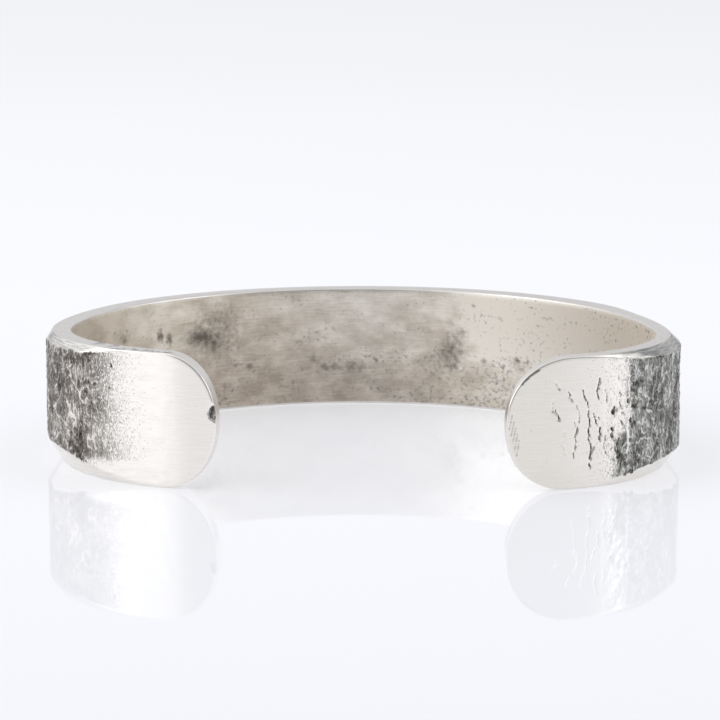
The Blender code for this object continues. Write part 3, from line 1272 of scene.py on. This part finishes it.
LEFT_GROOVES = (
    Groove(at((14.9, 3.2), (14.2, 2.4), (13.6, 1.6), (13.2, 0.8)), 0.16 * MM, -0.7),
    Groove(at((15.9, 0.9), (15.2, 0.2), (14.9, -0.5), (14.1, -0.9)), 0.16 * MM, -0.7),
    Groove(at((18.4, -0.3), (17.6, -1.0), (16.6, -1.2), (15.5, -1.8)), 0.16 * MM, -0.6),
)
LEFT_PITS = (
    hollow(0.15, 1.0, 0.62, 0.85, 1.0, 0.6),
    hollow(9.85, 4.7, 0.12, 0.28, 1.0),
    hollow(10.1, 2.5, 0.16, 0.14, 1.2),
    hollow(11.8, 2.75, 0.2, 0.15, 1.0),
    hollow(8.7, 1.0, 0.08, 0.2, 0.5),
    hollow(8.45, 2.7, 0.08, 0.08, 0.6),
    hollow(9.05, -0.5, 0.1, 0.18, 0.5),
    hollow(10.4, 1.15, 0.07, 0.14, 0.6),
)
LEFT_PATCHES = (
    hollow(14.6, 5.0, 3.4, 1.2, 0.7),
    hollow(14.8, -3.5, 3.4, 1.1, 0.45),
    hollow(14.4, -0.2, 2.0, 2.0, -0.6),
    hollow(15.7, 4.5, 0.7, 0.8, 0.7),
    hollow(14.6, 4.4, 0.6, 0.7, 0.8),
    hollow(13.8, 2.6, 0.45, 0.6, 0.9),
    hollow(12.7, 2.8, 0.7, 0.7, 0.9),
    hollow(12.9, 1.8, 0.5, 0.45, 0.9),
    hollow(16.2, 2.5, 0.3, 0.6, 0.9),
    hollow(19.3, 4.2, 0.9, 0.8, 0.7),
    hollow(17.6, 1.0, 0.45, 1.0, 0.6),
    hollow(16.0, -1.35, 0.35, 0.3, 1.2),
    hollow(13.8, -2.5, 0.45, 0.5, 1.2),
    hollow(20.8, -0.8, 0.7, 0.4, 0.9),
    hollow(14.5, -0.7, 0.6, 0.35, -0.7),
    hollow(16.9, -1.2, 0.8, 0.45, -0.5),
    hollow(18.0, -0.6, 0.7, 0.35, -0.6),
    hollow(19.6, -1.6, 0.8, 0.3, -0.6),
)
# Marks on the rim; one with a negative depth darkens its outer side
LEFT_RIM_MARKS = (
    hollow(12.6, 6.35, 0.9, 1.0, 0.9),
    hollow(10.6, 6.35, 1.0, 1.0, 0.5),
    hollow(6.6, 6.35, 4.4, 1.6, -0.45, 0.4),
)
RIGHT_GROOVES = (
    Groove(at((4.45, 3.9), (4.6, 3.6), (4.9, 3.2)), 0.11 * MM, 0.35),
    Groove(at((5.6, 3.0), (5.75, 2.5), (5.95, 2.1)), 0.10 * MM, 0.8),
    Groove(at((4.3, 2.1), (4.25, 1.6), (4.15, 1.1)), 0.10 * MM, 0.4),
    Groove(at((4.45, 1.2), (4.6, 0.8), (4.8, 0.3)), 0.11 * MM, 0.7),
    Groove(at((6.3, 1.6), (6.45, 1.2), (6.7, 0.5), (6.7, 0.1)), 0.10 * MM, 0.4),
    Groove(at((6.3, -0.1), (6.5, -0.5), (6.45, -0.9), (6.3, -1.4), (6.5, -1.8), (6.35, -2.3),
              (6.2, -2.7), (6.1, -3.3)), 0.09 * MM, 0.75),
    Groove(at((7.05, 3.1), (7.1, 2.5), (7.35, 2.0), (7.45, 1.4), (7.55, 0.8), (7.7, 0.2),
              (7.6, -0.5), (7.65, -1.4), (7.75, -2.0), (7.9, -2.8), (7.85, -3.3)), 0.10 * MM, 0.9),
    Groove(at((8.6, 3.9), (8.5, 3.3), (8.5, 2.7), (8.55, 2.1)), 0.10 * MM, 0.8),
    Groove(at((8.15, 0.7), (8.25, 0.2), (8.4, -0.4)), 0.10 * MM, 0.8),
    Groove(at((8.8, -0.7), (8.75, -1.3), (8.7, -1.9)), 0.11 * MM, 0.9),
    Groove(at((5.2, -0.8), (5.15, -2.0), (5.2, -3.0)), 0.10 * MM, 0.25),
    Groove(at((8.2, -2.4), (7.95, -3.0)), 0.11 * MM, 0.5),
    Groove(at((9.3, 2.8), (9.4, 2.2), (9.3, 1.7)), 0.10 * MM, 0.45),
    Groove(at((9.3, -1.6), (9.2, -2.4), (9.4, -3.2)), 0.09 * MM, 0.4),
    Groove(at((10.9, 1.7), (10.75, 1.1), (11.1, 0.8)), 0.10 * MM, 0.45),
    Groove(at((10.8, -0.2), (11.1, -0.5), (11.35, -0.9)), 0.10 * MM, 0.5),
    Groove(at((11.6, 0.9), (11.7, 0.0), (11.6, -1.0), (11.7, -2.6), (11.5, -3.4)), 0.15 * MM, -1.3),
    Groove(at((13.2, -0.9), (13.6, 0.1), (14.2, 0.3), (14.7, -0.3), (14.75, -1.0), (14.4, -1.7)),
           0.13 * MM, -0.8),
    Groove(at((11.5, 5.4), (11.55, 4.2), (11.65, 3.0), (11.6, 1.8)), 0.11 * MM, -0.6),
    Groove(at((15.9, 4.8), (16.0, 4.0), (15.8, 3.3)), 0.16 * MM, -0.8),
    Groove(at((11.6, 5.6), (13.0, 5.55), (15.0, 5.42), (17.0, 5.32), (19.0, 5.25), (21.0, 5.2)),
           0.16 * MM, -0.9),
)
RIGHT_PITS = (
    hollow(10.15, 0.7, 0.30, 0.62, 0.85, 0.2),
    hollow(10.0, -1.0, 0.24, 0.42, 0.8, 0.1),
    hollow(10.0, -1.6, 0.24, 0.36, 0.8, 0.1),
    hollow(11.15, 0.45, 0.28, 0.28, 0.75),
    hollow(10.7, 2.3, 0.18, 0.24, 0.7),
    hollow(10.5, 3.7, 0.15, 0.15, 0.8),
    hollow(11.65, 1.5, 0.18, 0.36, 1.0),
    hollow(8.65, 0.3, 0.13, 0.17, 0.8),
    hollow(4.7, 0.6, 0.13, 0.16, 0.9),
    hollow(7.85, -3.45, 0.2, 0.26, 1.2),
    hollow(7.75, -4.2, 0.16, 0.34, 1.2),
    hollow(11.9, -0.3, 0.26, 0.2, 2.0, 0.3),
    hollow(15.1, 5.15, 0.2, 0.17, 1.4),
    hollow(15.65, 5.2, 0.2, 0.16, 1.4),
    hollow(16.25, 5.1, 0.18, 0.17, 1.4),
    hollow(16.9, 5.08, 0.22, 0.17, 1.4),
    hollow(17.6, 5.0, 0.2, 0.15, 1.2),
)
RIGHT_PATCHES = (
    hollow(12.4, 2.7, 0.85, 0.95, 1.5),
    hollow(13.1, 3.2, 0.35, 0.45, 1.5),
    hollow(13.2, 4.3, 0.35, 0.3, 0.8),
    hollow(12.3, 0.9, 0.5, 0.4, 1.3),
    hollow(13.4, 0.6, 0.5, 0.28, 1.4),
    hollow(11.4, -4.3, 0.6, 0.8, 0.45),
    hollow(12.8, -4.4, 0.35, 0.5, 0.9),
    hollow(11.0, -3.2, 0.9, 1.0, 0.3),
    hollow(15.1, 3.6, 0.6, 0.9, 0.5),
    hollow(17.5, 3.0, 1.6, 1.6, 0.4),
    hollow(20.6, 2.7, 0.7, 0.9, 0.6),
    hollow(18.3, -1.9, 0.4, 1.2, 0.7),
    hollow(15.7, -3.0, 0.25, 0.2, -1.0),
)
# The dark corner and five scratches side by side, each lower and further from the tip
RIGHT_SCRATCHES = (Groove(at((1.4, 3.75), (1.5, 3.9), (2.1, 4.5), (2.9, 5.02)), 0.15 * MM, 1.0),) + tuple(
    Groove(at((0.5 + 0.16 * number, 0.9 - 0.6 * number), (0.24 + 0.17 * number, -0.4 - 0.62 * number)),
           0.12 * MM, 0.32)
    for number in range(5))
# Stains of the inside: distance along from the middle of the back and height above the floor
STAINS = (
    hollow(-24.1, 8.9, 0.7, 1.3, 1.0),
    hollow(-22.8, 8.4, 0.7, 1.2, 0.9),
    hollow(-18.9, 8.2, 2.3, 1.3, 0.75),
    hollow(-17.0, 7.5, 1.7, 1.4, 0.5),
    hollow(-30.0, 9.3, 1.4, 0.8, 0.6),
    hollow(-16.5, 8.5, 6.0, 5.5, 0.42),
    hollow(-12.6, 4.5, 0.8, 0.7, 0.75),
    hollow(-2.0, 4.1, 5.5, 1.3, 0.35),
    hollow(-3.9, 4.1, 0.65, 0.5, 0.7),
    hollow(-2.7, 4.0, 0.5, 0.5, 0.6),
    hollow(-0.9, 4.2, 0.6, 0.5, 0.7),
    hollow(0.1, 3.8, 0.6, 0.45, 0.7),
    hollow(1.7, 4.8, 0.55, 0.5, 0.6),
    hollow(-5.2, 5.0, 0.6, 0.5, 0.5),
    hollow(-7.0, 7.0, 0.55, 0.5, 0.5),
    hollow(-10.4, 8.8, 0.55, 0.5, 0.5),
    hollow(-2.9, 8.2, 0.5, 0.45, 0.5),
    hollow(10.2, 6.0, 2.4, 3.6, 0.62),
    hollow(10.4, 4.6, 0.6, 0.6, 0.5),
    hollow(8.2, 5.5, 0.5, 0.5, 0.5),
    hollow(11.5, 8.2, 1.3, 0.9, 0.35),
    hollow(10.0, 9.3, 0.55, 0.5, 0.6),
    hollow(14.0, 5.2, 0.65, 0.6, 0.8),
    hollow(12.6, 4.6, 0.6, 0.5, 0.5),
    hollow(15.6, 3.2, 0.5, 0.5, 0.5),
    hollow(18.2, 5.7, 0.65, 0.6, 1.0),
    hollow(16.0, 10.0, 0.5, 0.5, 0.5),
    hollow(12.7, 11.3, 0.5, 0.5, 0.5),
)


def make_band() -> CuffBand:
    """The band with the sizes of its two halves."""
    above = {"half_band": HALF_BAND, "taper_start": 18 * MM, "taper_end": 45 * MM}
    under = {"half_band": HALF_BAND, "taper_start": 1 * MM, "taper_end": 11 * MM, "filed_start": 5 * MM,
             "filed_full": 18 * MM, "filed_depth": 1.15 * MM, "round_depth": 0.14 * MM,
             "round_height": 0.17 * MM}
    left = Half(
        side=Side.LEFT, radii=(27.7 * MM, 30.3 * MM, 15.4 * MM, 21.1 * MM), turns=TURNS,
        tip_wall=1.9 * MM, full_wall=2.25 * MM, thinning=16 * MM,
        lower=Edge(-1, 4.9 * MM, taper=0.0, filed_height=1.9 * MM, **under),
        upper=Edge(1, 4.9 * MM, taper=0.0, filed_start=8 * MM, filed_full=14 * MM, filed_depth=0.4 * MM,
                   filed_height=0.62 * MM, round_depth=0.16 * MM, round_height=0.2 * MM, dull=0.4,
                   dull_start=4 * MM, **above),
        bare=(7.5 * MM, 10.2 * MM, 13.0 * MM, 17 * MM), black=(4.5 * MM, 16.0 * MM), low_shift=0.4 * MM,
        grooves=LEFT_GROOVES, pits=LEFT_PITS, patches=LEFT_PATCHES, scratches=(), tip_columns=36,
        spacings=((8.5 * MM, 0.3 * MM), (16 * MM, 0.1 * MM), (23 * MM, 0.125 * MM)), foot=0.6, haze=0.08,
        black_floor=0.0, rim_marks=LEFT_RIM_MARKS)
    right = Half(
        side=Side.RIGHT, radii=(26.9 * MM, 33.6 * MM, 15.3 * MM, 21.6 * MM), turns=TURNS,
        tip_wall=1.1 * MM, full_wall=2.25 * MM, thinning=16 * MM,
        lower=Edge(-1, 5.2 * MM, taper=0.15 * MM, filed_height=1.5 * MM, **under),
        upper=Edge(1, 6.2 * MM, taper=0.25 * MM, filed_start=6 * MM, filed_full=19 * MM,
                   filed_depth=0.8 * MM, filed_height=0.75 * MM, round_depth=0.14 * MM,
                   round_height=0.17 * MM, dull=0.75, **above),
        bare=(6.2 * MM, 9.2 * MM, 12.4 * MM, 17 * MM), black=(10.2 * MM, 13.2 * MM), low_shift=1.4 * MM,
        grooves=RIGHT_GROOVES, pits=RIGHT_PITS, patches=RIGHT_PATCHES, scratches=RIGHT_SCRATCHES,
        tip_columns=84, spacings=((13 * MM, 0.08 * MM), (23 * MM, 0.125 * MM)), crumple=0.06 * MM,
        specks=0.26)
    return CuffBand(left, right, STAINS)


def main() -> None:
    """Builds the band and its studio, and reports each."""
    logging.basicConfig(level=logging.INFO)
    bpy.context.scene.view_settings.view_transform = "Standard"
    band = make_band().build()
    LOG.info("band: %d faces", len(band.data.polygons))
    studio = Studio()
    studio.floor()
    studio.light()
    studio.camera()
    LOG.info("studio: floor, two soft lights and a camera")


if __name__ == "__main__":
    main()
